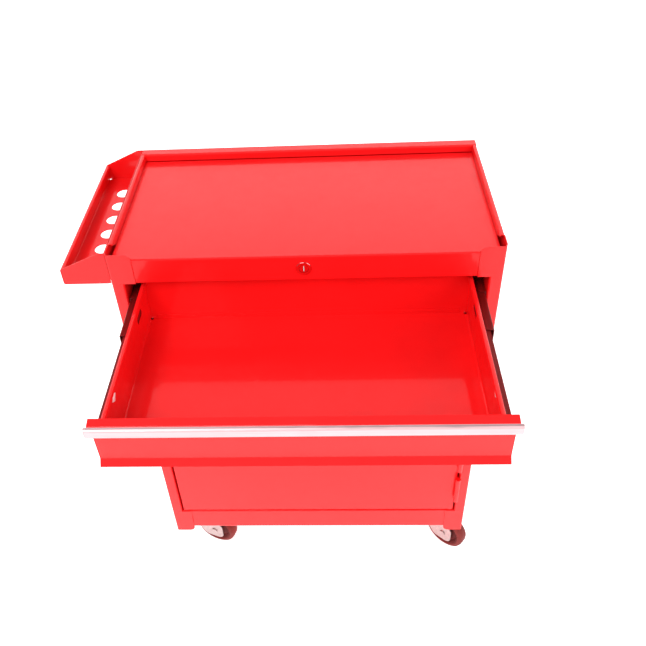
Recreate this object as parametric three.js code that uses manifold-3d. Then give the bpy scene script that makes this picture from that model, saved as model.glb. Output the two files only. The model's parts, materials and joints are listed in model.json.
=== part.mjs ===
// A rolling tool box of folded sheet steel. Four shallow drawers run on three-member slides
// above a cupboard with one side-hung door. A key lock in the top rail moves a bar behind the
// drawers, a tray with tool holes hangs on the left wall, and four casters carry the box.
// Millimetres: +X to the right, +Y to the back, +Z up, the floor at Z = 0.
import * as THREE from 'three';
import { mergeVertices } from 'three/addons/utils/BufferGeometryUtils.js';
import Module from 'manifold-3d';

const wasm = await Module();
wasm.setup();

// Driving dimensions of the body
const BODY_WIDTH = 518.2;
const BODY_DEPTH = 279.4;
const BODY_HEIGHT = 629.9; // from the feet of the posts to the rim
const SHEET = 1; // every folded panel
const BEND = 1.2; // inside radius of a fold
const SEAM = 0.3; // gap left between touching panels
const FEET_Z = 90; // underside of the posts above the floor
const FLOOR_LIFT = 10; // underside of the cupboard floor above the feet
const POST_WIDTH = 17.5;
const POST_DEPTH = 30;
const TAB_WIDTH = 33; // the posts widen to this at the top rail and the bottom rail
const TAB_CORNER = 9;
const RAIL_BEND = 0.8; // inside radius where the top panel turns down
const RAIL_TOP_DROP = 50.5; // rim to the underside of the top rail
const BOTTOM_RAIL_HEIGHT = 58; // feet to the upper edge of the bottom rail
const RIM_DROP = 11.5; // rim to the top panel
const SIDE_RIM_WIDTH = 6;
const BACK_RIM_WIDTH = 18;
const RIM_NOTCH = 22; // length without a rim flange behind each front corner
const RIM_LIP_Y = 40; // where the inner lip of a side rim reaches its full depth
const TOP_REAR_FLANGE = 10;
const REAR_UPRIGHT = { from: 238, to: 262 }; // where the rear slide uprights stand

// Drawers, numbered from the top
const DRAWER_COUNT = 4;
const DRAWER_PITCH = 78;
const FRONT_HEIGHT = 75;
const FIRST_FRONT_DROP = 55.5; // rim to the top edge of the first drawer front
const FRONT_HALF_WIDTH = 236;
const FACE_Y = 1.5; // closed drawer fronts and the door stand this far behind the posts' face
const DRAWER_TRAVEL = 236.5;
const PAN_HALF_WIDTH = 223.2;
const PAN_DEPTH = 255; // front face to the outside of the rear wall
const PAN_FLOOR_DROP = 72.5; // top edge of the front to the underside of the pan
const PAN_RIM_DROP = 2.5;
const PAN_HEM = 6;
const PAN_BEND = 2;
const REAR_WALL_DROP = 8; // the rear wall stops this far below the front's top edge
const REAR_UPSTAND = 7; // height of the flange that stiffens the pan's rear corner
const LEDGE_REACH = 9; // the lip along the top of each front reaches this far forward
const LEDGE_TOP_DROP = 3;
const LEDGE_LOW_DROP = 19;
const HANDLE_HALF_WIDTH = 239;
const HANDLE_TOP_DROP = 2.2;
const HANDLE_HEIGHT = 14.8;
const HANDLE_DEPTH = 4.5;
const HANDLE_WALL = 1.5;
const HANDLE_BEND = 2.2;

// Slides: X of the faces on the right-hand side, and half heights
const SLIDE_DROP = 37.5; // top edge of a front to the centre of its slides
const SLIDE_WALL = 1;
const CABINET_MEMBER = { inner: 231, outer: 241.3, half: 15, from: 4, to: 254 };
const MIDDLE_MEMBER = { inner: 229.5, outer: 240, half: 13.4, from: 48, to: 248 };
const DRAWER_MEMBER = { inner: 223.5, outer: 235, half: 11.6, from: 3, to: 250 };
const MIDDLE_SHARE = 0.5; // the middle members move half as far as their drawer

// Door
const DOOR_HALF_WIDTH = 238.3;
const DOOR_DEPTH = 12;
const HINGE_X = 239.9;
const HINGE_Y = -4.6;
const KNUCKLE_RADIUS = 4.2;
const KNUCKLE_LENGTH = 30;
const HINGE_PIN_RADIUS = 1.8;
const HINGE_HEIGHTS = { lower: 94, upper: 176 }; // above the feet

// Lock
const LOCK_DROP = 31; // rim to the lock's axis
const LOCK_BARREL_RADIUS = 8.5;
const BEZEL_RADIUS = 10.2;
const BEZEL_FACE_Y = -0.1;
const PLUG_RADIUS = 6;
const CRANK_RADIUS = 6; // the bar falls by this much in a quarter turn
const CRANK_PIN_RADIUS = 2;
const BAR_SHEET = 1.5;
const BAR_FRONT_Y = 27.5;
const BAR_REAR_Y = 268;

// Side tray on the left wall
const TRAY_WIDTH = 64.8;
const TRAY_GAP = 2; // between the side wall and the tray's inner wall
const TRAY_INNER_DROP = 4; // rim to the upper edge of the inner wall
const TRAY_LENGTH = 276.9;
const TRAY_FRONT_Y = 1.2;
const TRAY_DROP = 49.5; // rim to the underside of the tray
const TRAY_OUTER_HEIGHT = 25;
const TRAY_LIP = 5.5;
const TRAY_HOLE_RADIUS = 11.5;
const TRAY_HOLE_PITCH = 37.2;
const TRAY_FIRST_HOLE_Y = 80.6;
const TRAY_HOLES = 5;
const TRAY_HOLE_X = 30; // hole centres outside the side wall

// Casters
const WHEEL_RADIUS = 38.1;
const WHEEL_WIDTH = 22;
const CASTER_X = 221;
const FRONT_CASTER_Y = 56;
const CASTER_TRAIL = 27.5;
const PLATE_SIDE = 62;
const PLATE_SHEET = 2.5;
const FORK_SHEET = 2;
const FORK_GAP = 25; // between the cheeks
const CHEEK_TOP_HALF = 22;
const CHEEK_FOOT_HALF = 18;
const CROWN_DROP = 11; // mounting face to the top of a swivelling fork
const AXLE_RADIUS = 4;
const AXLE_HEAD = { radius: 5.5, reach: 1.6 }; // riveted ends outside the cheeks
const FRONT_SWIVEL = { left: 69.5, right: 49 }; // degrees each front fork is turned from straight

// Levels and faces that follow from them
const HALF = BODY_WIDTH / 2;
const WALL_X = HALF - SHEET; // inner face of a side wall
const INSIDE_X = WALL_X - SEAM; // edge of a panel that fits between the walls
const RIM_Z = FEET_Z + BODY_HEIGHT;
const FLOOR_Z = FEET_Z + FLOOR_LIFT;
const TOP_Z = RIM_Z - RIM_DROP;
const OPENING_TOP_Z = RIM_Z - RAIL_TOP_DROP;
const RAIL_Z = FEET_Z + BOTTOM_RAIL_HEIGHT;
const POST_X = HALF - POST_WIDTH; // half width of the front opening
const REAR_Y = BODY_DEPTH - SHEET - SEAM; // rear edge of the side panels
const RAIL_Y = SHEET + SEAM; // face of the sheets behind the posts' flanges
const DOOR_TOP_Z = RIM_Z - FIRST_FRONT_DROP - DRAWER_COUNT * DRAWER_PITCH;
const DOOR_BOTTOM_Z = RAIL_Z + 2;
const DECK_Z = DOOR_TOP_Z + 2.3;
const LOCK_Z = RIM_Z - LOCK_DROP;
const RIM_INNER_X = HALF - SIDE_RIM_WIDTH;
const BACK_RIM_Y = BODY_DEPTH - BACK_RIM_WIDTH;
const frontTop = (drawer) => RIM_Z - FIRST_FRONT_DROP - drawer * DRAWER_PITCH;

// Materials
const paint = new THREE.MeshStandardMaterial({ color: 0xc8101a, roughness: 0.28, metalness: 0.0 });
const aluminium = new THREE.MeshStandardMaterial({ color: 0xd8d9dc, roughness: 0.32, metalness: 1 });
const blackSteel = new THREE.MeshStandardMaterial({ color: 0x17171a, roughness: 0.4, metalness: 0.6 });
const zinc = new THREE.MeshStandardMaterial({ color: 0xc4c7cb, roughness: 0.3, metalness: 1 });
const chrome = new THREE.MeshStandardMaterial({ color: 0xe6e8ea, roughness: 0.08, metalness: 1 });
const magnet = new THREE.MeshStandardMaterial({ color: 0xe9e9e6, roughness: 0.5, metalness: 0 });
const tread = new THREE.MeshStandardMaterial({ color: 0x2a1512, roughness: 0.6, metalness: 0 });

// A three.js geometry as a solid. Profiles may run either way round.
function solid(geometry) {
  const bare = new THREE.BufferGeometry();
  bare.setAttribute('position', geometry.getAttribute('position').clone());
  if (geometry.index) bare.setIndex(geometry.index.clone());
  const merged = mergeVertices(bare, 1e-4);
  const vertProperties = merged.attributes.position.array;
  const triVerts = new Uint32Array(merged.index.array);
  const made = new wasm.Manifold(new wasm.Mesh({ numProp: 3, vertProperties, triVerts }));
  if (made.volume() > 0) return made;
  for (let i = 0; i < triVerts.length; i += 3) triVerts.subarray(i, i + 3).reverse();
  return new wasm.Manifold(new wasm.Mesh({ numProp: 3, vertProperties, triVerts }));
}

const join = (...solids) => solids.flat().reduce((sum, next) => sum.add(next));
const cut = (body, ...tools) => tools.flat().reduce((rest, tool) => rest.subtract(tool), body);

// Unit vectors that carry an outline's own u and v, and its extrusion, onto the model's axes
const PLANES = {
  x: new THREE.Matrix4().makeBasis(
    new THREE.Vector3(0, 1, 0), new THREE.Vector3(0, 0, 1), new THREE.Vector3(1, 0, 0)),
  y: new THREE.Matrix4().makeBasis(
    new THREE.Vector3(1, 0, 0), new THREE.Vector3(0, 0, 1), new THREE.Vector3(0, -1, 0)),
  z: new THREE.Matrix4(),
};

// An outline extruded along an axis: (y, z) along x, (x, z) along y, (x, y) along z
function prism(outline, axis, from, to) {
  const shape = new THREE.Shape(outline.map(([u, v]) => new THREE.Vector2(u, v)));
  const geometry = new THREE.ExtrudeGeometry(shape, { depth: to - from, bevelEnabled: false });
  geometry.translate(0, 0, axis === 'y' ? -to : from);
  return solid(geometry.applyMatrix4(PLANES[axis]));
}

function block([x0, x1], [y0, y1], [z0, z1]) {
  const geometry = new THREE.BoxGeometry(x1 - x0, y1 - y0, z1 - z0);
  geometry.translate((x0 + x1) / 2, (y0 + y1) / 2, (z0 + z1) / 2);
  return solid(geometry);
}

// A round bar along an axis, centred on the other two coordinates
function rod(radius, axis, from, to, [u, v] = [0, 0], sides = 24) {
  const outline = [];
  for (let i = 0; i < sides; i += 1) {
    const turn = (2 * Math.PI * i) / sides;
    outline.push([u + radius * Math.cos(turn), v + radius * Math.sin(turn)]);
  }
  return prism(outline, axis, from, to);
}

// The outline of a sheet that follows a path. The path is one face of the sheet, whose
// thickness lies to its left, and each corner is a round fold.
function foldedOutline(path, thickness = SHEET, bend = BEND, steps = 2) {
  const points = path.map(([u, v]) => new THREE.Vector2(u, v));
  const near = [];
  const far = [];
  points.forEach((point, i) => {
    const before = i > 0 ? point.clone().sub(points[i - 1]).normalize() : null;
    const after = i < points.length - 1 ? points[i + 1].clone().sub(point).normalize() : null;
    const along = before ?? after;
    const left = new THREE.Vector2(-along.y, along.x);
    if (!before || !after) {
      near.push(point);
      far.push(point.clone().addScaledVector(left, thickness));
      return;
    }
    const turn = Math.atan2(before.cross(after), before.dot(after));
    const side = Math.sign(turn);
    const radius = side > 0 ? bend + thickness : bend;
    const start = point.clone().addScaledVector(before, -radius * Math.tan(Math.abs(turn) / 2));
    const centre = start.clone().addScaledVector(left, side * radius);
    for (let k = 0; k <= steps; k += 1) {
      const spoke = left.clone().multiplyScalar(-side).rotateAround(new THREE.Vector2(), (turn * k) / steps);
      near.push(centre.clone().addScaledVector(spoke, radius));
      far.push(centre.clone().addScaledVector(spoke, radius - side * thickness));
    }
  });
  return [...near, ...far.reverse()].map((p) => [p.x, p.y]);
}

// A polygon whose corners [u, v, radius] are rounded where they give a radius
function roundedOutline(corners, steps = 4) {
  const outline = [];
  corners.forEach(([u, v, radius = 0], i) => {
    const here = new THREE.Vector2(u, v);
    if (!radius) {
      outline.push([u, v]);
      return;
    }
    const previous = new THREE.Vector2(...corners.at(i - 1).slice(0, 2));
    const next = new THREE.Vector2(...corners[(i + 1) % corners.length].slice(0, 2));
    const back = previous.sub(here).normalize();
    const on = next.sub(here).normalize();
    const half = Math.acos(back.dot(on)) / 2;
    const start = here.clone().addScaledVector(back, radius / Math.tan(half));
    const centre = here.clone().addScaledVector(back.clone().add(on).normalize(), radius / Math.sin(half));
    const sweep = (Math.PI - 2 * half) * -Math.sign(back.cross(on));
    for (let k = 0; k <= steps; k += 1) {
      const point = start.clone().rotateAround(centre, (sweep * k) / steps);
      outline.push([point.x, point.y]);
    }
  });
  return outline;
}

// A ring or a disc turned about an axis through its own origin, from (radius, height) points
function turned(profile, axis, sides = 28) {
  const geometry = new THREE.LatheGeometry(profile.map(([r, h]) => new THREE.Vector2(r, h)), sides);
  if (axis === 'x') geometry.rotateZ(-Math.PI / 2);
  if (axis === 'z') geometry.rotateX(Math.PI / 2);
  return solid(geometry);
}

// A named mesh of a solid, added to a group, mirrored to the left-hand side where asked
function add(group, name, body, material, mirrored = false) {
  const { vertProperties, triVerts } = body.getMesh();
  const indexed = new THREE.BufferGeometry();
  indexed.setAttribute('position', new THREE.BufferAttribute(new Float32Array(vertProperties), 3));
  indexed.setIndex(new THREE.BufferAttribute(new Uint32Array(triVerts), 1));
  const geometry = indexed.toNonIndexed();
  geometry.computeVertexNormals();
  const mesh = new THREE.Mesh(geometry, material);
  mesh.name = name;
  if (mirrored) mesh.scale.x = -1;
  group.add(mesh);
  return mesh;
}

// The right-hand side panel: wall, front post with its box-shaped return, rear flange, rim
// channel and the upright that carries the rear ends of the slides
function sidePanel() {
  const wall = prism(
    foldedOutline([[POST_X + 8, 0], [HALF, 0], [HALF, REAR_Y], [HALF - 15, REAR_Y]]),
    'z', FEET_Z, RIM_Z);
  const returnPath = [[WALL_X + SHEET / 2, POST_DEPTH], [POST_X, POST_DEPTH], [POST_X, 0], [HALF - 3, 0]];
  const post = prism(foldedOutline(returnPath), 'z', RAIL_Z + SEAM, OPENING_TOP_Z - SEAM);
  const upright = prism(
    foldedOutline([
      [WALL_X + SHEET / 2, REAR_UPRIGHT.to], [POST_X, REAR_UPRIGHT.to],
      [POST_X, REAR_UPRIGHT.from], [WALL_X + SHEET / 2, REAR_UPRIGHT.from],
    ]),
    'z', DECK_Z + SEAM, OPENING_TOP_Z - SEAM);
  const topTab = prism(
    roundedOutline([
      [HALF - TAB_WIDTH, OPENING_TOP_Z], [HALF - 3, OPENING_TOP_Z],
      [HALF - 3, RIM_Z - 3], [HALF - TAB_WIDTH, RIM_Z - 3, TAB_CORNER],
    ]),
    'y', 0, SHEET);
  const footTab = prism(
    roundedOutline([
      [HALF - TAB_WIDTH, FEET_Z, TAB_CORNER], [HALF - 3, FEET_Z],
      [HALF - 3, RAIL_Z], [HALF - TAB_WIDTH, RAIL_Z],
    ]),
    'y', 0, SHEET);
  const footFlange = block([HALF - 9, HALF - 0.5], [3, REAR_Y - 3], [FEET_Z, FEET_Z + SHEET]);
  const rim = prism(
    foldedOutline([
      [HALF, RIM_Z - 8], [HALF, RIM_Z], [RIM_INNER_X, RIM_Z], [RIM_INNER_X, TOP_Z + SEAM],
    ]),
    'y', RIM_NOTCH, BACK_RIM_Y - SEAM);
  const lipCut = prism(
    [[RIM_NOTCH - 1, RIM_Z - SHEET - BEND], [RIM_LIP_Y, TOP_Z - 1], [RIM_NOTCH - 1, TOP_Z - 1]],
    'x', RIM_INNER_X - 1, RIM_INNER_X + SHEET + BEND);
  const trims = [
    block([HALF - 60, HALF - 2], [-1, 2], [RIM_Z - 3, RIM_Z + 1]),
    block([HALF - 60, WALL_X], [REAR_Y - 3, REAR_Y + 1], [TOP_Z - 2, RIM_Z + 1]),
    block([HALF - 3, HALF + 1], [RIM_NOTCH, BACK_RIM_Y - SEAM], [RIM_Z - 7, RIM_Z + 1]),
  ];
  return join(cut(wall, trims), post, upright, topTab, footTab, footFlange, cut(rim, lipCut));
}

function backPanel() {
  const sheet = block(
    [-HALF + SEAM, HALF - SEAM], [BODY_DEPTH - SHEET, BODY_DEPTH], [FEET_Z + 2, RIM_Z - 4]);
  const rim = prism(
    foldedOutline([
      [BODY_DEPTH, RIM_Z - 12], [BODY_DEPTH, RIM_Z], [BACK_RIM_Y, RIM_Z], [BACK_RIM_Y, TOP_Z + SEAM],
    ]),
    'x', -INSIDE_X, INSIDE_X);
  // Two bridges guide the lock bar up and down
  const guideHeights = [1, 3].map((drawer) => frontTop(drawer) - PAN_FLOOR_DROP / 2);
  const bridges = guideHeights.map((z) => prism(
    foldedOutline([
      [-19, BODY_DEPTH - SHEET / 2], [-13, BAR_REAR_Y - 3],
      [18, BAR_REAR_Y - 3], [24, BODY_DEPTH - SHEET / 2],
    ]),
    'z', z - 6, z + 6));
  return join(sheet, rim, bridges);
}

// Top panel, bent down at the front into the rail that holds the lock
function topPanel() {
  const sheet = prism(
    foldedOutline([
      [BACK_RIM_Y - SEAM, TOP_Z - TOP_REAR_FLANGE], [BACK_RIM_Y - SEAM, TOP_Z],
      [RAIL_Y, TOP_Z], [RAIL_Y, OPENING_TOP_Z], [12, OPENING_TOP_Z],
    ], SHEET, RAIL_BEND),
    'x', -RIM_INNER_X + SEAM, RIM_INNER_X - SEAM);
  const edges = [-1, 1].map((side) => {
    const outer = RIM_INNER_X - SEAM;
    const span = [side * outer, side * (outer - SHEET)].sort((a, b) => a - b);
    return block(span, [RIM_NOTCH + 2, BACK_RIM_Y - 2], [TOP_Z - TOP_REAR_FLANGE, TOP_Z - SHEET / 2]);
  });
  const lockHole = rod(LOCK_BARREL_RADIUS + SEAM, 'y', 0, 5, [0, LOCK_Z]);
  return cut(join(sheet, edges), lockHole);
}

// Shelf between the drawers and the cupboard, with a flange that the door closes against
function deckPanel() {
  const sheet = prism(
    foldedOutline([
      [REAR_Y - 2, DECK_Z - 12], [REAR_Y - 2, DECK_Z],
      [FACE_Y + DOOR_DEPTH + 1, DECK_Z], [FACE_Y + DOOR_DEPTH + 1, DECK_Z - 14],
    ]),
    'x', -INSIDE_X, INSIDE_X);
  const corner = (side) => {
    const span = [side * (POST_X - SEAM), side * HALF].sort((a, b) => a - b);
    return block(span, [0, POST_DEPTH + SEAM], [DECK_Z - 20, DECK_Z + 5]);
  };
  const rearCorner = (side) => {
    const span = [side * (HALF - 15 - SEAM), side * HALF].sort((a, b) => a - b);
    return block(span, [REAR_Y - SHEET - SEAM, REAR_Y], [DECK_Z - 20, DECK_Z + 5]);
  };
  return cut(sheet, corner(-1), corner(1), rearCorner(-1), rearCorner(1));
}

// Cupboard floor, bent up at the front into the bottom rail
function bottomPanel() {
  return prism(
    foldedOutline([
      [10, RAIL_Z], [RAIL_Y, RAIL_Z], [RAIL_Y, FLOOR_Z],
      [REAR_Y - SHEET - SEAM, FLOOR_Z], [REAR_Y - SHEET - SEAM, FLOOR_Z + 12],
    ]),
    'x', -INSIDE_X + BEND, INSIDE_X - BEND);
}

// Tray that hangs outside the left wall, open at the top
function sideTray() {
  const wallFace = -HALF - SEAM;
  const inner = -HALF - TRAY_GAP;
  const outer = -HALF - TRAY_WIDTH;
  const low = RIM_Z - TRAY_DROP;
  const lipZ = low + TRAY_OUTER_HEIGHT;
  const rearY = TRAY_FRONT_Y + TRAY_LENGTH;
  const trough = prism(
    foldedOutline([
      [inner, RIM_Z - TRAY_INNER_DROP], [inner, low], [outer, low],
      [outer, lipZ], [outer + TRAY_LIP, lipZ], [outer + TRAY_LIP, lipZ - 4],
    ].reverse()),
    'y', TRAY_FRONT_Y, rearY);
  const endOutline = [
    [wallFace, low + 0.5], [wallFace, RIM_Z - 0.5], [wallFace - 9, RIM_Z - 0.5],
    [outer + 0.5, lipZ - 0.5], [outer + 0.5, low + 0.5],
  ];
  const ends = [[TRAY_FRONT_Y, TRAY_FRONT_Y + SHEET], [rearY - SHEET, rearY]]
    .map(([from, to]) => prism(endOutline, 'y', from, to));
  const holes = [];
  for (let i = 0; i < TRAY_HOLES; i += 1) {
    const centre = [-HALF - TRAY_HOLE_X, TRAY_FIRST_HOLE_Y + i * TRAY_HOLE_PITCH];
    holes.push(rod(TRAY_HOLE_RADIUS, 'z', low - 2, low + 4, centre));
  }
  const reliefs = [TRAY_FRONT_Y + 3, rearY - 3]
    .map((y) => rod(2, 'z', low - 2, low + 3, [outer + 3, y], 12));
  return cut(join(trough, ends), holes, reliefs);
}

// One slide member of C section, open towards or away from the drawer
function slideMember({ inner, outer, half, from, to }, opensInward) {
  const path = opensInward
    ? [[inner, -half], [outer, -half], [outer, half], [inner, half]]
    : [[outer, half], [inner, half], [inner, -half], [outer, -half]];
  return prism(foldedOutline(path, SLIDE_WALL, 0.8, 3), 'y', from, to);
}

// Section of a drawer or door front: the lip along its top, then the face. The face is at
// Y = 0 and the top edge at Z = 0.
function frontPath(bottom) {
  return [
    [2, 0], [-LEDGE_REACH, -LEDGE_TOP_DROP], [-LEDGE_REACH, -LEDGE_LOW_DROP], [0, -LEDGE_LOW_DROP - 1],
    ...bottom,
  ];
}

// A drawer: the formed front welded to an open pan with hemmed side walls
function drawer() {
  const front = prism(
    foldedOutline(frontPath([[0, -FRONT_HEIGHT + 8], [-6.5, -FRONT_HEIGHT]])),
    'x', -FRONT_HALF_WIDTH, FRONT_HALF_WIDTH);
  const side = (sign) => [
    [sign * (PAN_HALF_WIDTH - PAN_HEM), -PAN_RIM_DROP - 5],
    [sign * (PAN_HALF_WIDTH - PAN_HEM), -PAN_RIM_DROP],
    [sign * PAN_HALF_WIDTH, -PAN_RIM_DROP],
    [sign * PAN_HALF_WIDTH, -PAN_FLOOR_DROP],
  ];
  const trough = prism(
    foldedOutline([...side(-1), ...side(1).reverse()], SHEET, PAN_BEND), 'y', SHEET, PAN_DEPTH);
  const wallX = PAN_HALF_WIDTH - SHEET / 2;
  const frontWall = block([-wallX, wallX], [SHEET / 2, 2 * SHEET], [-PAN_FLOOR_DROP + 0.5, -1]);
  const rearWall = block(
    [-wallX, wallX], [PAN_DEPTH - SHEET, PAN_DEPTH], [-PAN_FLOOR_DROP + 0.5, -REAR_WALL_DROP]);
  const upstand = block(
    [-wallX + 11, wallX - 11], [PAN_DEPTH - 2.2, PAN_DEPTH - SHEET / 2],
    [-PAN_FLOOR_DROP + 0.5, -PAN_FLOOR_DROP + REAR_UPSTAND]);
  const stopTab = prism(
    roundedOutline([[157.4, SHEET], [164.4, SHEET], [164.4, 5.5, 3.4], [157.4, 5.5, 3.4]]),
    'z', -2, -1);
  const catchHole = prism(
    [[46, -23], [55, -30], [64, -23], [55, -16]], 'x', -HALF, HALF);
  const rearSlot = prism(
    roundedOutline([[195, -34, 3], [221, -34, 3], [221, -24, 3], [195, -24, 3]]),
    'x', -HALF, HALF);
  const reliefs = [-1, 1].map((sign) => rod(
    2.4, 'z', -PAN_FLOOR_DROP - 1, -PAN_FLOOR_DROP + 3,
    [sign * (PAN_HALF_WIDTH - 3), PAN_DEPTH - 3], 12));
  return cut(join(front, trough, frontWall, rearWall, upstand, stopTab), catchHole, rearSlot, reliefs);
}

// Aluminium grip in front of a lip: a channel with round corners, open towards the lip
function grip() {
  const near = -LEDGE_REACH - SEAM;
  const far = near - HANDLE_DEPTH;
  const high = -HANDLE_TOP_DROP;
  const low = high - HANDLE_HEIGHT;
  const section = foldedOutline(
    [[near, high], [far, high], [far, low], [near, low]], HANDLE_WALL, HANDLE_BEND, 3);
  return prism(section, 'x', -HANDLE_HALF_WIDTH, HANDLE_HALF_WIDTH);
}

// The door, with the sleeves of its two lift-off hinges
function door() {
  const height = DOOR_TOP_Z - DOOR_BOTTOM_Z;
  const face = prism(
    foldedOutline(frontPath([[0, -height], [DOOR_DEPTH, -height]])),
    'x', -DOOR_HALF_WIDTH, DOOR_HALF_WIDTH);
  const edges = [-1, 1].map((side) => {
    const path = [
      [side * 222, DOOR_DEPTH], [side * DOOR_HALF_WIDTH, DOOR_DEPTH],
      [side * DOOR_HALF_WIDTH, 0], [side * 230, 0],
    ];
    return prism(foldedOutline(side < 0 ? path : path.reverse()), 'z', -height + SHEET / 2, -4);
  });
  const sleeves = Object.values(HINGE_HEIGHTS).map((above) => {
    const low = FEET_Z + above + KNUCKLE_LENGTH + SEAM - DOOR_TOP_Z;
    const high = low + KNUCKLE_LENGTH;
    const leaf = block(
      [DOOR_HALF_WIDTH - 0.2, DOOR_HALF_WIDTH + SHEET], [HINGE_Y - FACE_Y, DOOR_DEPTH - 1], [low, high]);
    const barrel = rod(KNUCKLE_RADIUS, 'z', low, high, [HINGE_X, HINGE_Y - FACE_Y], 16);
    const bore = rod(HINGE_PIN_RADIUS + SEAM, 'z', low - 1, high - 2, [HINGE_X, HINGE_Y - FACE_Y], 16);
    return cut(join(leaf, barrel), bore);
  });
  return join(face, edges, sleeves);
}

// The fixed half of a hinge: leaf on the post, lower knuckle and the pin that the sleeve sits on
function hinge() {
  const leaf = block([POST_X - SEAM - SHEET, POST_X - SEAM], [HINGE_Y, POST_DEPTH - 6], [0, KNUCKLE_LENGTH]);
  const barrel = rod(KNUCKLE_RADIUS, 'z', 0, KNUCKLE_LENGTH, [HINGE_X, HINGE_Y], 16);
  const pin = rod(HINGE_PIN_RADIUS, 'z', KNUCKLE_LENGTH - 1, 2 * KNUCKLE_LENGTH - 3, [HINGE_X, HINGE_Y], 16);
  return join(leaf, barrel, pin);
}

// Lock barrel with its bezel and the nut that clamps it to the rail
function lockCylinder() {
  const bore = PLUG_RADIUS + SEAM;
  const barrel = LOCK_BARREL_RADIUS;
  return turned([
    [bore, BEZEL_FACE_Y], [BEZEL_RADIUS - 0.4, BEZEL_FACE_Y], [BEZEL_RADIUS, BEZEL_FACE_Y + 0.4],
    [BEZEL_RADIUS, SHEET], [barrel, SHEET], [barrel, 2.6],
    [12, 2.6], [12, 6.6], [barrel, 6.6], [barrel, 21], [bore, 21], [bore, BEZEL_FACE_Y],
  ], 'y');
}

function lockPlug() {
  const plug = rod(PLUG_RADIUS, 'y', BEZEL_FACE_Y + 0.2, 24);
  return cut(plug, block([-1, 1], [-2, 16], [-4.5, 4.5]));
}

// Disc on the back of the plug, with the crank pin that lifts and lowers the bar
function lockCrank() {
  const disc = rod(CRANK_RADIUS + CRANK_PIN_RADIUS + 1.5, 'y', 24 + SEAM, 26.5);
  const pin = rod(CRANK_PIN_RADIUS, 'y', 26, 31, [CRANK_RADIUS, 0], 16);
  return join(disc, pin);
}

// Bar from the lock to the back, then down behind the drawers, with one hook for each drawer
function lockBar() {
  const frontPlate = prism(
    roundedOutline([[-9, -10, 3], [15, -10], [15, 9], [-9, 9, 3]]),
    'y', BAR_FRONT_Y, BAR_FRONT_Y + BAR_SHEET);
  // The slot is taller than the pin because the pin swings on an arc while the bar goes straight
  const slot = prism(
    roundedOutline([[-3.6, -4, 2.5], [9.6, -4, 2.5], [9.6, 2.6, 2.5], [-3.6, 2.6, 2.5]]),
    'y', BAR_FRONT_Y - 1, BAR_FRONT_Y + BAR_SHEET + 1);
  const arm = block([15 - BAR_SHEET, 15], [BAR_FRONT_Y, BAR_REAR_Y + BAR_SHEET], [-6, 6]);
  const lastHook = frontTop(DRAWER_COUNT - 1) - REAR_WALL_DROP + 8 - LOCK_Z;
  const strip = block([-8, 15], [BAR_REAR_Y, BAR_REAR_Y + BAR_SHEET], [lastHook - 4, 6]);
  const hooks = [];
  for (let i = 0; i < DRAWER_COUNT; i += 1) {
    const low = frontTop(i) - REAR_WALL_DROP + 2 - LOCK_Z; // lip's lower edge above the rear wall
    const lipY = FACE_Y + PAN_DEPTH - SHEET - 4.5;
    hooks.push(block([-6, 6], [lipY, BAR_REAR_Y + 1], [low + 6, low + 6 + BAR_SHEET]));
    hooks.push(block([-6, 6], [lipY, lipY + BAR_SHEET], [low, low + 7]));
  }
  return cut(join(frontPlate, arm, strip, hooks), slot);
}

// Caster mounting plate with four bolt slots; its top face is at Z = 0
function casterPlate() {
  const side = PLATE_SIDE / 2;
  const plate = prism(
    roundedOutline([[-side, -side, 6], [side, -side, 6], [side, side, 6], [-side, side, 6]]),
    'z', -PLATE_SHEET, 0);
  const slots = [];
  for (const sx of [-1, 1]) {
    for (const sy of [-1, 1]) slots.push(rod(3.2, 'z', -PLATE_SHEET - 1, 1, [sx * 23, sy * 23], 16));
  }
  return cut(plate, slots);
}

// Fixed half of a swivel: plate, pressed race and the king pin that the fork hangs on
function swivelPlate() {
  const raceZ = -CROWN_DROP + SEAM;
  const headZ = -CROWN_DROP - FORK_SHEET - 2;
  const race = turned([
    [0, -2], [23, -2], [23, raceZ + 4], [19, raceZ], [5, raceZ], [5, headZ], [9, headZ],
    [8, headZ - 2.5], [0, headZ - 2.5],
  ], 'z');
  return join(casterPlate(), race);
}

// Fork with two cheeks and the riveted axle. The wheel trails towards -Y by the offset given.
function fork(crownZ, trail) {
  const axleZ = WHEEL_RADIUS - FLOOR_Z + SEAM;
  const inner = FORK_GAP / 2;
  const outer = inner + FORK_SHEET;
  const crown = rod(24, 'z', crownZ - FORK_SHEET, crownZ, [0, 0], 32);
  const bridge = block([-outer, outer], [-CHEEK_TOP_HALF, CHEEK_TOP_HALF], [crownZ - FORK_SHEET, crownZ]);
  const top = CHEEK_TOP_HALF;
  const foot = CHEEK_FOOT_HALF;
  const cheekOutline = roundedOutline([
    [top, crownZ], [top, crownZ - 26, 16], [foot - trail, axleZ - foot, 13],
    [-foot - trail, axleZ - foot, 13], [-foot - trail, axleZ + foot, 10], [-top, crownZ - 10, 8],
    [-top, crownZ],
  ]);
  const cheeks = [[-outer, -inner], [inner, outer]].map(([from, to]) => prism(cheekOutline, 'x', from, to));
  const axle = join(
    rod(AXLE_RADIUS, 'x', -outer - 1, outer + 1, [-trail, axleZ], 16),
    rod(AXLE_HEAD.radius, 'x', -outer - AXLE_HEAD.reach, -outer + 0.5, [-trail, axleZ]),
    rod(AXLE_HEAD.radius, 'x', outer - 0.5, outer + AXLE_HEAD.reach, [-trail, axleZ]));
  return join(crown, bridge, cheeks, axle);
}

function swivelFork() {
  const kingHole = rod(5 + SEAM, 'z', -30, 0);
  return cut(fork(-CROWN_DROP, CASTER_TRAIL), kingHole);
}

const rigidFork = () => join(casterPlate(), fork(-PLATE_SHEET + 0.5, 0));

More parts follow.
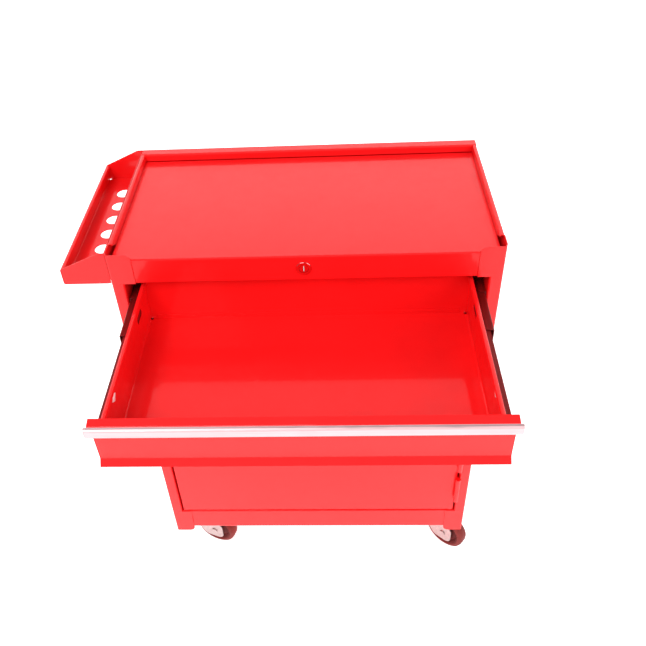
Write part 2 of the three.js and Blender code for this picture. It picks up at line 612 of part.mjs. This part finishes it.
// Wheel about its own axle: moulded core with a rubber tread
function wheel() {
  const half = WHEEL_WIDTH / 2;
  const bore = AXLE_RADIUS + SEAM;
  const r = WHEEL_RADIUS;
  const profile = [
    [bore, -half - 0.8], [9, -half - 0.8], [9, -half + 2], [r - 7, -half + 2], [r - 5, -half],
    [r - 1.8, -half + 0.4], [r, -half + 5],
  ];
  const opposite = profile.map(([radius, x]) => [radius, -x]).reverse();
  return turned([...profile, ...opposite, profile[0]], 'x');
}

const toolBox = new THREE.Group();

add(toolBox, 'right_side_panel', sidePanel(), paint);
add(toolBox, 'left_side_panel', sidePanel(), paint, true);
add(toolBox, 'back_panel', backPanel(), paint);
add(toolBox, 'top_panel', topPanel(), paint);
add(toolBox, 'deck_panel', deckPanel(), paint);
add(toolBox, 'bottom_panel', bottomPanel(), paint);
add(toolBox, 'side_tray', sideTray(), paint);

// Drawers with their slides. The first is open, the others are closed.
for (let i = 0; i < DRAWER_COUNT; i += 1) {
  const name = `drawer_${i + 1}`;
  const opened = i === 0 ? DRAWER_TRAVEL : 0;
  const sliding = new THREE.Group();
  sliding.position.set(0, FACE_Y - opened, frontTop(i));
  add(sliding, `${name}_pan`, drawer(), paint);
  add(sliding, `${name}_handle`, grip(), aluminium);
  const middle = new THREE.Group();
  middle.position.set(0, -opened * MIDDLE_SHARE, frontTop(i) - SLIDE_DROP);
  const fixed = new THREE.Group();
  fixed.position.set(0, 0, frontTop(i) - SLIDE_DROP);
  for (const [side, mirrored] of [['right', false], ['left', true]]) {
    add(fixed, `${name}_cabinet_rail_${side}`, slideMember(CABINET_MEMBER, true), blackSteel, mirrored);
    add(middle, `${name}_middle_rail_${side}`, slideMember(MIDDLE_MEMBER, true), blackSteel, mirrored);
    const inner = slideMember(DRAWER_MEMBER, false);
    const rail = add(sliding, `${name}_rail_${side}`, inner, blackSteel, mirrored);
    rail.position.z = -SLIDE_DROP;
  }
  toolBox.add(sliding, middle, fixed);
}

// Door, its hinges and its catch
const doorGroup = new THREE.Group();
doorGroup.position.set(0, FACE_Y, DOOR_TOP_Z);
add(doorGroup, 'door_panel', door(), paint);
add(doorGroup, 'door_handle', grip(), aluminium);
toolBox.add(doorGroup);
for (const [place, height] of Object.entries(HINGE_HEIGHTS)) {
  const mesh = add(toolBox, `hinge_${place}`, hinge(), paint);
  mesh.position.z = FEET_Z + height;
}
const CATCH_Y = FACE_Y + DOOR_DEPTH + SEAM;
add(toolBox, 'door_catch', join(
  block([-234, -206], [CATCH_Y, CATCH_Y + 12], [DECK_Z - 30, DECK_Z - 15]),
  block([-230, -210], [CATCH_Y + 3, CATCH_Y + 9], [DECK_Z - 16, DECK_Z - SHEET - SEAM]),
), magnet);

// Lock
const lockGroup = new THREE.Group();
lockGroup.position.set(0, 0, LOCK_Z);
add(lockGroup, 'lock_cylinder', lockCylinder(), chrome);
add(lockGroup, 'lock_plug', lockPlug(), chrome);
add(lockGroup, 'lock_crank', lockCrank(), zinc);
add(lockGroup, 'lock_bar', lockBar(), zinc);
toolBox.add(lockGroup);

// Casters: swivelling at the front, rigid at the back
for (const [side, sign] of [['left', -1], ['right', 1]]) {
  const front = new THREE.Group();
  front.position.set(sign * CASTER_X, FRONT_CASTER_Y, FLOOR_Z - SEAM);
  add(front, `caster_plate_front_${side}`, swivelPlate(), zinc);
  const swivel = new THREE.Group();
  swivel.rotation.z = THREE.MathUtils.degToRad(FRONT_SWIVEL[side]);
  add(swivel, `caster_fork_front_${side}`, swivelFork(), zinc);
  const frontWheel = add(swivel, `caster_wheel_front_${side}`, wheel(), tread);
  frontWheel.position.set(0, -CASTER_TRAIL, WHEEL_RADIUS - FLOOR_Z + SEAM);
  front.add(swivel);
  const rear = new THREE.Group();
  rear.position.set(sign * CASTER_X, BODY_DEPTH - FRONT_CASTER_Y, FLOOR_Z - SEAM);
  add(rear, `caster_fork_rear_${side}`, rigidFork(), zinc);
  const rearWheel = add(rear, `caster_wheel_rear_${side}`, wheel(), tread);
  rearWheel.position.set(0, 0, WHEEL_RADIUS - FLOOR_Z + SEAM);
  toolBox.add(front, rear);
}

// The origin goes on the floor under the centre of the open box
const extent = new THREE.Box3().setFromObject(toolBox, true);
toolBox.position.set(-(extent.min.x + extent.max.x) / 2, -(extent.min.y + extent.max.y) / 2, 0);

export default toolBox;
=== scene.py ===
"""Looks for the rolling tool box: gloss red powder coat, aluminium grips, black slides,
zinc casters with dark tyres, a chrome lock, screws and bolts, on a white studio floor."""
import json
import math

import bmesh
import bpy
from mathutils import Matrix, Vector


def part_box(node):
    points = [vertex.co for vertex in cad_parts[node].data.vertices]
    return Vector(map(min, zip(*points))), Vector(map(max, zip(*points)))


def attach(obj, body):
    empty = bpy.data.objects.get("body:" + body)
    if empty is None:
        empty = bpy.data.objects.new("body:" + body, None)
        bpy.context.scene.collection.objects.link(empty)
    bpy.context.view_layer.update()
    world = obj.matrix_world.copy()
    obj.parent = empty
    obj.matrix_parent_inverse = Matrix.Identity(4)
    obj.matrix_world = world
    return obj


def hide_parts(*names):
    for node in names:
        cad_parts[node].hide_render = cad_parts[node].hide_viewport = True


MM = 0.001

# The cabinet's own axes run from the middle of its front edge. This is where they start.
ORIGIN = Vector((0.023898, -0.0153, 0.0))
HALF_WIDTH = 259.1
RIM_Z = 719.9
FLOOR_Z = 100.0
FIRST_FRONT_DROP = 55.5
LOCK_DROP = 31.0
DRAWER_PITCH = 78.0
FACE_Y = 1.5
DRAWER_TRAVEL = 236.5
DRAWERS = range(4)
SHEET = 1.0

# Catch plates: diamonds behind the holes in the drawers' side walls
PLATE_X = 223.1
PLATE_Y = 55
PLATE_DROP = 23
PLATE_HALF_LENGTH = 8.6
PLATE_HALF_HEIGHT = 6.6
PLATE_THICKNESS = 0.75

# Screws that hold the side tray
SCREW_YS = (40, 140, 240)
SCREW_X = -HALF_WIDTH - 3.0
SCREW_DROP = 22

# Casters: X sign, degrees the fork is turned, kingpin Y
CASTER_X = 221.0
BOLT_REACH = 23
BOLT_RADIUS = 5.2
PLATE_UNDERSIDE = FLOOR_Z - 2.8
CASTERS = {
    "front_left": (-1, 69.5, 56.0),
    "front_right": (1, 49.0, 56.0),
    "rear_left": (-1, 0.0, 223.4),
    "rear_right": (1, 0.0, 223.4),
}

# Camera, fitted to the cabinet's corners, in the row frame
CAMERA_PLACE = (0.0667, -0.7888, 1.2772)
CAMERA_YAW = -4.31
CAMERA_PITCH = 40.60
CAMERA_ROLL = -3.85
CAMERA_LENS = 41.45
CAMERA_SHIFT = (0.0435, -0.0147)

# Floor, backdrop and light, in metres and watts
FLOOR_HALF_WIDTH = 14.0
FLOOR_FROM_Y = -6.0
BACKDROP_Y = 3.0
BACKDROP_BEND = 1.5
BACKDROP_HEIGHT = 6.0
BACKDROP_STEPS = 12
FLOOR_GLOW = 0.70
WORLD_STRENGTH = 0.52
KEY_POWER = 52
FILL_POWER = 24
LIGHT_TARGET = (0, 0, 0.4)


# ---------------------------------------------------------------- shader helpers

class Shader:
    """A material with a Principled surface and short calls for the nodes that feed it."""

    def __init__(self, name):
        self.material = bpy.data.materials.new(name)
        self.material.use_nodes = True
        self.tree = self.material.node_tree
        self.surface = self.tree.nodes["Principled BSDF"]
        self.place = self.tree.nodes.new("ShaderNodeTexCoord").outputs["Object"]

    def node(self, kind, **values):
        made = self.tree.nodes.new(kind)
        for key, value in values.items():
            setattr(made, key, value)
        return made

    def link(self, source, target):
        self.tree.links.new(source, target)

    def set(self, **values):
        for key, value in values.items():
            self.surface.inputs[key.replace("_", " ")].default_value = value

    def scaled(self, scale):
        """The object coordinates, stretched."""
        mapping = self.node("ShaderNodeMapping")
        mapping.inputs["Scale"].default_value = scale
        self.link(self.place, mapping.inputs["Vector"])
        return mapping.outputs["Vector"]

    def noise(self, scale, detail=3.0, roughness=0.5, stretch=None):
        made = self.node("ShaderNodeTexNoise")
        made.inputs["Scale"].default_value = scale
        made.inputs["Detail"].default_value = detail
        made.inputs["Roughness"].default_value = roughness
        self.link(self.scaled(stretch) if stretch else self.place, made.inputs["Vector"])
        return made.outputs["Fac"]

    def spread(self, source, low, high, lowest=0.3, highest=0.7):
        """A 0 to 1 value moved into a range."""
        made = self.node("ShaderNodeMapRange")
        made.inputs["From Min"].default_value = lowest
        made.inputs["From Max"].default_value = highest
        made.inputs["To Min"].default_value = low
        made.inputs["To Max"].default_value = high
        self.link(source, made.inputs["Value"])
        return made.outputs["Result"]

    def mix(self, factor, first, second):
        made = self.node("ShaderNodeMix", data_type="RGBA")
        for source, target in ((first, made.inputs["A"]), (second, made.inputs["B"])):
            if isinstance(source, tuple):
                target.default_value = (*source, 1)
            else:
                self.link(source, target)
        self.link(factor, made.inputs["Factor"])
        return made.outputs["Result"]

    def bump(self, height, strength, distance, under=None):
        made = self.node("ShaderNodeBump")
        made.inputs["Strength"].default_value = strength
        made.inputs["Distance"].default_value = distance
        self.link(height, made.inputs["Height"])
        if under:
            self.link(under, made.inputs["Normal"])
        return made.outputs["Normal"]


# ---------------------------------------------------------------- materials

def red_paint():
    """Gloss powder coat: faint orange peel, a slow drift of colour, and thin handling marks."""
    s = Shader("red_paint")
    drift = s.noise(9, 4)
    colour = s.mix(s.spread(drift, 0, 1), (0.90, 0.0085, 0.0100), (0.80, 0.0070, 0.0085))
    s.link(colour, s.surface.inputs["Base Color"])
    s.link(s.spread(s.noise(60, 5, 0.6), 0.34, 0.44), s.surface.inputs["Roughness"])
    peel = s.bump(s.noise(380, 2, 0.4), 0.018, 0.0004)
    s.link(peel, s.surface.inputs["Normal"])
    s.set(Coat_Weight=0.46, Coat_IOR=1.40, Specular_IOR_Level=0.14)
    marks = s.noise(1, 5, 0.7, (40, 700, 40))
    s.link(s.spread(marks, 0.05, 0.11), s.surface.inputs["Coat Roughness"])
    s.link(peel, s.surface.inputs["Coat Normal"])
    return s.material


def brushed(name, colour, along, roughness, depth=0.12):
    """Metal with fine lines along one axis."""
    s = Shader(name)
    stretch = tuple(3 if axis == along else 900 for axis in "xyz")
    lines = s.noise(1, 4, 0.65, stretch)
    patches = s.noise(35, 3)
    dark = tuple(0.8 * c for c in colour)
    s.link(s.mix(s.spread(lines, 0, 1), dark, colour), s.surface.inputs["Base Color"])
    rough = s.spread(patches, roughness - 0.05, roughness + 0.07)
    s.link(rough, s.surface.inputs["Roughness"])
    s.set(Metallic=1.0)
    s.link(s.bump(lines, depth, 0.0002), s.surface.inputs["Normal"])
    return s.material


def zinc_plate():
    """Bright zinc: faint crystals, handling marks and a duller bloom in places."""
    s = Shader("zinc_plate")
    cells = s.node("ShaderNodeTexVoronoi")
    cells.inputs["Scale"].default_value = 260
    s.link(s.place, cells.inputs["Vector"])
    crystal = s.spread(cells.outputs["Distance"], 0, 1, 0.0, 0.9)
    s.link(s.mix(crystal, (0.42, 0.33, 0.32), (0.52, 0.42, 0.41)), s.surface.inputs["Base Color"])
    s.link(s.spread(s.noise(45, 5, 0.65), 0.22, 0.42), s.surface.inputs["Roughness"])
    s.set(Metallic=1.0)
    s.link(s.bump(s.noise(300, 3), 0.08, 0.0003), s.surface.inputs["Normal"])
    return s.material


def chrome():
    """Plated lock parts, tinted red as a painted reflection of the red paint and drawer around them,
    dulled by handling round the key.
    """
    s = Shader("lock_chrome")
    # The red base colour is a painted reflection of the red drawer and paint, not the plating's own
    # colour.
    s.link(s.mix(s.spread(s.noise(120, 4), 0, 1), (0.74, 0.10, 0.11), (0.84, 0.16, 0.17)),
           s.surface.inputs["Base Color"])
    s.set(Metallic=1.0)
    s.link(s.spread(s.noise(300, 4, 0.7), 0.10, 0.18), s.surface.inputs["Roughness"])
    s.link(s.bump(s.noise(700, 2), 0.03, 0.0002), s.surface.inputs["Normal"])
    return s.material


def black_slide():
    """Black coated rolled steel with drawn streaks and a film of grease."""
    s = Shader("black_slide")
    streaks = s.noise(1, 4, 0.6, (700, 6, 700))
    s.link(s.mix(s.spread(streaks, 0, 1), (0.120, 0.004, 0.004), (0.230, 0.008, 0.008)),
           s.surface.inputs["Base Color"])
    s.link(s.spread(s.noise(40, 5, 0.6), 0.30, 0.50), s.surface.inputs["Roughness"])
    s.set(Metallic=0.2, Specular_IOR_Level=0.2, Coat_Weight=0.05, Coat_Roughness=0.2)
    s.link(s.bump(streaks, 0.12, 0.0002), s.surface.inputs["Normal"])
    return s.material


def moulded(name, colour, roughness, shine=0.5, grain=500, depth=0.15):
    """Moulded rubber or plastic with a fine grain and a little dust."""
    s = Shader(name)
    pale = tuple(min(1.0, c * 1.25 + 0.02) for c in colour)
    s.link(s.mix(s.spread(s.noise(30, 5, 0.65), 0, 0.7), colour, pale),
           s.surface.inputs["Base Color"])
    rough = s.spread(s.noise(80, 3), roughness - 0.06, roughness + 0.1)
    s.link(rough, s.surface.inputs["Roughness"])
    s.set(Specular_IOR_Level=shine)
    s.link(s.bump(s.noise(grain, 3, 0.6), depth, 0.0003), s.surface.inputs["Normal"])
    return s.material


def floor_material():
    """Lit white paper sweep."""
    s = Shader("studio_white")
    s.link(s.mix(s.spread(s.noise(2, 3), 0, 1), (0.94, 0.94, 0.94), (0.96, 0.96, 0.96)),
           s.surface.inputs["Base Color"])
    s.set(Roughness=0.9, Specular_IOR_Level=0.1, Emission_Strength=FLOOR_GLOW)
    s.surface.inputs["Emission Color"].default_value = (1, 1, 1, 1)
    return s.material


MATERIALS = {
    "red_paint": red_paint(),
    # The pink tint in the grip's colour is a painted reflection of the red paint around it.
    "aluminium_grip": brushed("aluminium_grip", (0.78, 0.52, 0.54), "x", 0.40),
    "black_slide": black_slide(),
    "zinc_plate": zinc_plate(),
    "lock_chrome": chrome(),
    "catch_plastic": moulded("catch_plastic", (0.85, 0.85, 0.83), 0.4),
    "wheel_rubber": moulded("wheel_rubber", (0.18, 0.018, 0.014), 0.52, 0.14),
}
CORE = moulded("wheel_core", (0.14, 0.014, 0.012), 0.55, 0.1)
LATCH = moulded("latch_white", (0.90, 0.88, 0.86), 0.35)


# ---------------------------------------------------------------- mesh helpers

def smooth(obj, angle=35):
    """Smooth shading, with edges kept sharp above an angle in degrees."""
    obj.data.shade_smooth()
    obj.data.set_sharp_from_angle(angle=math.radians(angle))


def bevel(obj, width, segments=2):
    """Rounds the hard edges of a piece a little, as paint or a press does."""
    made = obj.modifiers.new("edge", "BEVEL")
    made.width = width
    made.segments = segments
    made.limit_method = "ANGLE"
    made.angle_limit = math.radians(40)
    made.use_clamp_overlap = True
    made.harden_normals = True


def piece(name, mesh, material, body):
    """A new object of the visual model, in the row frame, riding on a CAD body."""
    obj = bpy.data.objects.new(name, mesh)
    bpy.context.scene.collection.objects.link(obj)
    mesh.materials.append(MATERIALS[material] if isinstance(material, str) else material)
    smooth(obj)
    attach(obj, body)
    return obj


def at(x, y, z):
    """A point in the cabinet's own millimetres, in the row frame."""
    return ORIGIN + Vector((x, y, z)) * MM


def lathe(profile, axis, centre, sides=96):
    """A mesh turned about an axis through a centre, from closed (radius, along) points in mm."""
    mesh = bpy.data.meshes.new("turned")
    work = bmesh.new()
    along = Vector(axis).normalized()
    across = along.orthogonal().normalized()
    third = along.cross(across)
    rings = []
    for k in range(sides):
        turn = 2 * math.pi * k / sides
        out = across * math.cos(turn) + third * math.sin(turn)
        rings.append([work.verts.new(centre + (out * r + along * h) * MM) for r, h in profile])
    count = len(profile)
    for k in range(sides):
        here, there = rings[k], rings[(k + 1) % sides]
        for i in range(count):
            j = (i + 1) % count
            work.faces.new((here[i], there[i], there[j], here[j]))
    bmesh.ops.remove_doubles(work, verts=work.verts, dist=1e-7)
    bmesh.ops.recalc_face_normals(work, faces=work.faces)
    work.to_mesh(mesh)
    work.free()
    return mesh


def hexagon(radius, height, centre, along, spin, crown=0.5):
    """A hexagonal head or nut with a turned edge, standing on a point."""
    mesh = bpy.data.meshes.new("hexagon")
    work = bmesh.new()
    axis = Vector(along).normalized()
    across = axis.orthogonal().normalized()
    third = axis.cross(across)
    rings = []
    for level, scale in ((0, 1.0), (height - crown, 1.0), (height, 0.86)):
        ring = []
        for k in range(6):
            turn = math.pi * k / 3 + spin
            out = across * math.cos(turn) + third * math.sin(turn)
            ring.append(work.verts.new(centre + (out * radius * scale + axis * level) * MM))
        rings.append(ring)
    work.faces.new(rings[0])
    work.faces.new(rings[-1])
    for lower, upper in zip(rings, rings[1:]):
        for k in range(6):
            n = (k + 1) % 6
            work.faces.new((lower[k], lower[n], upper[n], upper[k]))
    bmesh.ops.recalc_face_normals(work, faces=work.faces)
    work.to_mesh(mesh)
    work.free()
    return mesh


def pan_head(centre, axis, radius=4.2, height=2.2):
    """A domed screw head with a shallow recess for the driver, sitting on a face."""
    profile = [(0.05, height - 1.0), (1.3, height - 1.0), (1.5, height), (0.55 * radius, height * 0.96),
               (0.82 * radius, height * 0.75), (radius, height * 0.3), (radius, 0.0), (0.05, 0.0)]
    return lathe(profile, axis, centre, 32)


# ---------------------------------------------------------------- the CAD nodes

def dress_nodes(frame):
    """Gives every CAD node its material, smooth folds and softened edges."""
    widths = {"red_paint": 0.12, "aluminium_grip": 0.3, "black_slide": 0.2, "zinc_plate": 0.35,
              "lock_chrome": 0.1, "catch_plastic": 0.8, "wheel_rubber": 0.8}
    for entry in frame["record"]["subparts"]:
        obj = frame["nodes"][entry["node"]]
        name = entry["material_slot"]
        obj.data.materials.clear()
        obj.data.materials.append(MATERIALS[name])
        smooth(obj)
        bevel(obj, widths[name] * MM)


# ---------------------------------------------------------------- added pieces

def wheels():
    """A moulded core and a rubber tyre in place of each plain wheel."""
    tyre = [(29.2, -9.6), (31.0, -10.7), (34.4, -10.4), (36.9, -8.6), (38.0, -5.2), (38.1, 0.0),
            (38.0, 5.2), (36.9, 8.6), (34.4, 10.4), (31.0, 10.7), (29.2, 9.6)]
    core = [(4.4, -11.7), (8.6, -11.7), (9.2, -11.0), (9.6, -6.4), (11.5, -4.8), (24.0, -4.8),
            (26.4, -8.6), (28.4, -9.9), (29.1, -9.3), (29.1, 9.3), (28.4, 9.9), (26.4, 8.6),
            (24.0, 4.8), (11.5, 4.8), (9.6, 6.4), (9.2, 11.0), (8.6, 11.7), (4.4, 11.7)]
    for place, (_, degrees, _) in CASTERS.items():
        node = f"caster_wheel_{place}"
        low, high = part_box(node)
        centre = (low + high) / 2
        turn = math.radians(degrees)
        axle = (math.cos(turn), math.sin(turn), 0)
        body = f"wheel_{place}"
        made = piece(f"tyre_{place}", lathe(tyre, axle, centre, 128), "wheel_rubber", body)
        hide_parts(node)
        piece(f"wheel_core_{place}", lathe(core, axle, centre, 96), CORE, body)


def caster_bolts():
    """Hexagon heads under each mounting plate, with their nuts on the cupboard floor."""
    for place, (side, _, king_y) in CASTERS.items():
        for count, (across, along) in enumerate(((-1, -1), (1, -1), (1, 1), (-1, 1))):
            x = side * CASTER_X + across * BOLT_REACH
            y = king_y + along * BOLT_REACH
            spin = 0.3 * count
            head = hexagon(BOLT_RADIUS, 3.6, at(x, y, PLATE_UNDERSIDE), (0, 0, -1), spin)
            piece(f"caster_bolt_{place}_{count + 1}", head, "zinc_plate", "cabinet")
            nut = hexagon(BOLT_RADIUS, 4.2, at(x, y, FLOOR_Z + SHEET), (0, 0, 1), spin + 0.2)
            piece(f"caster_nut_{place}_{count + 1}", nut, "zinc_plate", "cabinet")


def tray_screws():
    """Screw heads on the inner wall of the side tray."""
    for count, y in enumerate(SCREW_YS):
        head = pan_head(at(SCREW_X, y, RIM_Z - SCREW_DROP), (-1, 0, 0))
        piece(f"tray_screw_{count + 1}", head, "zinc_plate", "cabinet")


def painted_key_glint():
    """A pale strip a little inside the key slot: a painted highlight standing in for the glint along
    the slot.
    """
    mesh = bpy.data.meshes.new("painted_glint")
    work = bmesh.new()
    z = RIM_Z - LOCK_DROP
    section = ((0.5, 0.7), (0.5, 1.6), (-0.5, 1.6), (-0.5, 0.7), (0.0, 0.45))
    ends = [[work.verts.new(at(x, y, z + dz)) for x, y in section] for dz in (-4.2, 4.2)]
    for k in range(5):
        n = (k + 1) % 5
        work.faces.new((ends[0][k], ends[0][n], ends[1][n], ends[1][k]))
    work.faces.new(ends[0])
    work.faces.new(ends[1])
    bmesh.ops.recalc_face_normals(work, faces=work.faces)
    work.to_mesh(mesh)
    work.free()
    # The pale latch plastic is used here only as a painted highlight along the key slot.
    piece("painted_key_glint", mesh, LATCH, "lock_plug")


def latch_plates():
    """White plates that show through the diamond holes in the drawers' side walls."""
    half_long, half_high, thick = PLATE_HALF_LENGTH, PLATE_HALF_HEIGHT, PLATE_THICKNESS
    corners = ((0, half_high), (half_long, 0), (0, -half_high), (-half_long, 0))
    faces = ((PLATE_X, 1.0), (PLATE_X - thick + 0.15, 1.0), (PLATE_X - thick, 0.93))
    for drawer in DRAWERS:
        opened = DRAWER_TRAVEL if drawer == 0 else 0
        y = FACE_Y - opened + PLATE_Y
        z = RIM_Z - FIRST_FRONT_DROP - drawer * DRAWER_PITCH - PLATE_DROP
        for name, side in (("left", -1), ("right", 1)):
            mesh = bpy.data.meshes.new("latch")
            work = bmesh.new()
            rings = []
            for x, scale in faces:
                rings.append([work.verts.new(at(side * x, y + dy * scale, z + dz * scale))
                              for dy, dz in corners])
            for first, second in zip(rings, rings[1:]):
                for k in range(4):
                    n = (k + 1) % 4
                    work.faces.new((first[k], first[n], second[n], second[k]))
            work.faces.new(rings[0])
            work.faces.new(rings[-1])
            bmesh.ops.recalc_face_normals(work, faces=work.faces)
            work.to_mesh(mesh)
            work.free()
            piece(f"latch_plate_{drawer + 1}_{name}", mesh, LATCH, f"drawer_{drawer + 1}")


# ---------------------------------------------------------------- studio

def studio():
    """White floor that curves up into a backdrop."""
    mesh = bpy.data.meshes.new("floor")
    work = bmesh.new()
    outline = [(FLOOR_FROM_Y, 0.0), (BACKDROP_Y, 0.0)]
    for k in range(1, BACKDROP_STEPS + 1):
        turn = math.pi / 2 * k / BACKDROP_STEPS
        outline.append((BACKDROP_Y + BACKDROP_BEND * math.sin(turn),
                        BACKDROP_BEND * (1 - math.cos(turn))))
    outline.append((BACKDROP_Y + BACKDROP_BEND, BACKDROP_HEIGHT))
    rows = [[work.verts.new((x, y, z)) for y, z in outline]
            for x in (-FLOOR_HALF_WIDTH, FLOOR_HALF_WIDTH)]
    for i in range(len(outline) - 1):
        work.faces.new((rows[0][i], rows[1][i], rows[1][i + 1], rows[0][i + 1]))
    work.to_mesh(mesh)
    work.free()
    obj = bpy.data.objects.new("studio_floor", mesh)
    bpy.context.scene.collection.objects.link(obj)
    mesh.materials.append(floor_material())
    obj.data.shade_smooth()


def area_light(name, place, size, power):
    """A square soft light that points at the middle of the box."""
    light = bpy.data.lights.new(name, "AREA")
    light.shape = "RECTANGLE"
    light.size = light.size_y = size
    light.energy = power
    obj = bpy.data.objects.new(name, light)
    obj.location = place
    obj.rotation_euler = (Vector(LIGHT_TARGET) - Vector(place)).to_track_quat("-Z", "Y").to_euler()
    bpy.context.scene.collection.objects.link(obj)


def lighting():
    """White surroundings, a key from the front left and a fill from the right."""
    world = bpy.data.worlds.new("studio")
    bpy.context.scene.world = world
    world.use_nodes = True
    background = world.node_tree.nodes["Background"]
    background.inputs["Color"].default_value = (1, 1, 1, 1)
    background.inputs["Strength"].default_value = WORLD_STRENGTH
    area_light("key", (-1.0, -1.5, 2.7), 1.6, KEY_POWER)
    area_light("fill", (1.6, -1.4, 1.6), 1.2, FILL_POWER)
    bpy.context.scene.view_settings.view_transform = "Standard"


def camera():
    """The view that shows the box from above its front."""
    yaw, pitch, roll = (math.radians(v) for v in (CAMERA_YAW, CAMERA_PITCH, CAMERA_ROLL))
    forward = Vector((math.sin(yaw) * math.cos(pitch), math.cos(yaw) * math.cos(pitch),
                      -math.sin(pitch)))
    right = Vector((math.cos(yaw), -math.sin(yaw), 0))
    up = right.cross(forward)
    turned_right = math.cos(roll) * right + math.sin(roll) * up
    turned_up = math.cos(roll) * up - math.sin(roll) * right
    axes = Matrix((turned_right, turned_up, -forward)).transposed()
    data = bpy.data.cameras.new("camera")
    data.lens = CAMERA_LENS
    data.shift_x, data.shift_y = CAMERA_SHIFT
    obj = bpy.data.objects.new("camera", data)
    obj.matrix_world = Matrix.Translation(CAMERA_PLACE) @ axes.to_4x4()
    bpy.context.scene.collection.objects.link(obj)
    bpy.context.scene.camera = obj


# ---------------------------------------------------------------- the scene

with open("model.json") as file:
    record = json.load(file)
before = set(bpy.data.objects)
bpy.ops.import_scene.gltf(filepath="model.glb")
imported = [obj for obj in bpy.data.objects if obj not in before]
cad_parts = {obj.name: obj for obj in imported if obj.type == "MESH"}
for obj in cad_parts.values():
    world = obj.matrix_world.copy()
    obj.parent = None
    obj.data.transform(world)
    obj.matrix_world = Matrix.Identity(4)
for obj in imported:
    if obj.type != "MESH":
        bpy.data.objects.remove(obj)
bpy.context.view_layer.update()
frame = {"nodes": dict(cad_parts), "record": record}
dress_nodes(frame)
wheels()
caster_bolts()
tray_screws()
painted_key_glint()
latch_plates()
studio()
lighting()
camera()
